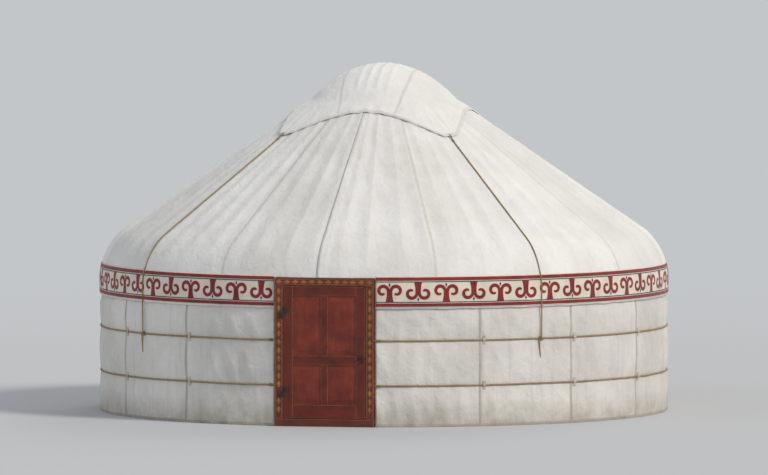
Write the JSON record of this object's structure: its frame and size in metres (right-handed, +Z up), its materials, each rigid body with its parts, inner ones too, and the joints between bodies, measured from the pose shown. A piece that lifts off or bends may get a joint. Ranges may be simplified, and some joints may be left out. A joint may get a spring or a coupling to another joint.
{
  "type": "yurt",
  "caption": "Round felt and canvas yurt on a wooden lattice, with a domed crown, bent roof poles and a hinged panelled door that opens outward.",
  "frame": {"origin": "on the ground at the centre of the floor circle, under the crown", "axes": "+Z up; the door faces -Y; +X to the right of somebody who faces the door"},
  "size_m": [6.0376, 6.0376, 3.6847],
  "materials": {
    "frame_wood": "worn paint on pine",
    "door_paint": "worn red-brown paint",
    "iron": "forged, blackened",
    "lath_wood": "red ochre stain",
    "pole_wood": "red ochre stain",
    "crown_wood": "red ochre stain",
    "wall_canvas": "matt cotton canvas",
    "roof_canvas": "matt cotton canvas",
    "crown_canvas": "matt cotton canvas",
    "band_cloth": "patterned woven cloth",
    "rope": "twisted hair rope"
  },
  "bodies": {
    "yurt": {"door_sill": "frame_wood", "door_jamb_left": "frame_wood", "door_jamb_right": "frame_wood", "door_lintel": "frame_wood", "hinge_pins": "iron", "lattice_section_1": "lath_wood", "roof_poles_1": "pole_wood", "lattice_section_2": "lath_wood", "roof_poles_2": "pole_wood", "lattice_section_3": "lath_wood", "roof_poles_3": "pole_wood", "lattice_section_4": "lath_wood", "roof_poles_4": "pole_wood", "lattice_section_5": "lath_wood", "roof_poles_5": "pole_wood", "lattice_section_6": "lath_wood", "roof_poles_6": "pole_wood", "roof_poles_door": "pole_wood", "crown_ring": "crown_wood", "crown_slats": "crown_wood", "wall_cover_front_right": "wall_canvas", "roof_cover_front_right": "roof_canvas", "wall_cover_back_right": "wall_canvas", "roof_cover_back_right": "roof_canvas", "wall_cover_back_left": "wall_canvas", "roof_cover_back_left": "roof_canvas", "wall_cover_front_left": "wall_canvas", "roof_cover_front_left": "roof_canvas", "crown_cover": "crown_canvas", "eave_band": "band_cloth", "wall_rope_lower": "rope", "wall_rope_upper": "rope", "roof_ropes": "rope"},
    "door": {"door_leaf": "door_paint", "door_handle": "iron", "hinge_knuckles": "iron"}
  },
  "joints": [
    {"name": "door_hinge", "type": "hinge", "parent": "yurt", "child": "door", "pos_m": [-0.437, -3.00992, 0.77], "axis": [0, 0, -1], "range_deg": [0, 125]}
  ]
}
